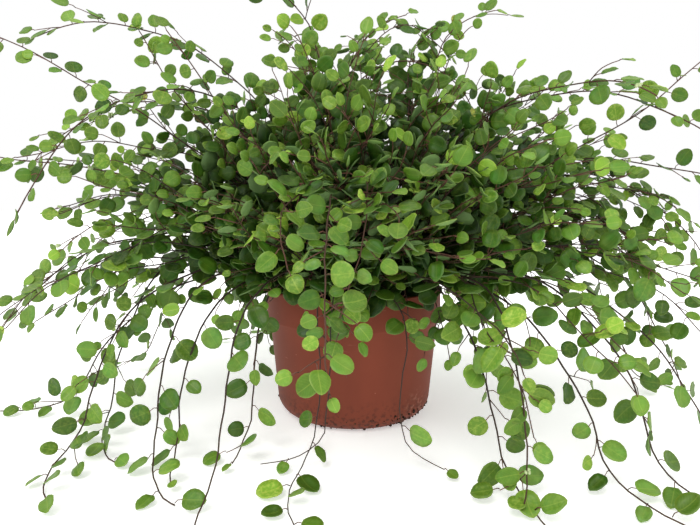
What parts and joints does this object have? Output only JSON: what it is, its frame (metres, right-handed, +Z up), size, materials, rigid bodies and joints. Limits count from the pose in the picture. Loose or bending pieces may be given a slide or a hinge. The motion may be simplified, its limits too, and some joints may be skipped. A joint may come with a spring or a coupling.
{
  "type": "potted wire vine",
  "caption": "Trailing pot plant: a dense mound of thin wiry stems with small round leaves in a plain round nursery pot that stands on a flat surface.",
  "frame": {"origin": "centre of the pot's flat base, on the surface that it stands on", "axes": "+Z up along the pot's axis; -Y towards the viewer of the picture; +X to that viewer's right, along the widest spread of the stems"},
  "size_m": [0.6241, 0.4879, 0.3456],
  "materials": {
    "pot": "satin",
    "soil": "matte",
    "foliage": "satin"
  },
  "bodies": {
    "root": {"pot": "pot", "soil": "soil", "spray_left": "foliage", "spray_front_left": "foliage", "spray_front": "foliage", "spray_front_right": "foliage", "spray_right": "foliage", "spray_back_right": "foliage", "spray_back": "foliage", "spray_back_left": "foliage"}
  },
  "joints": []
}
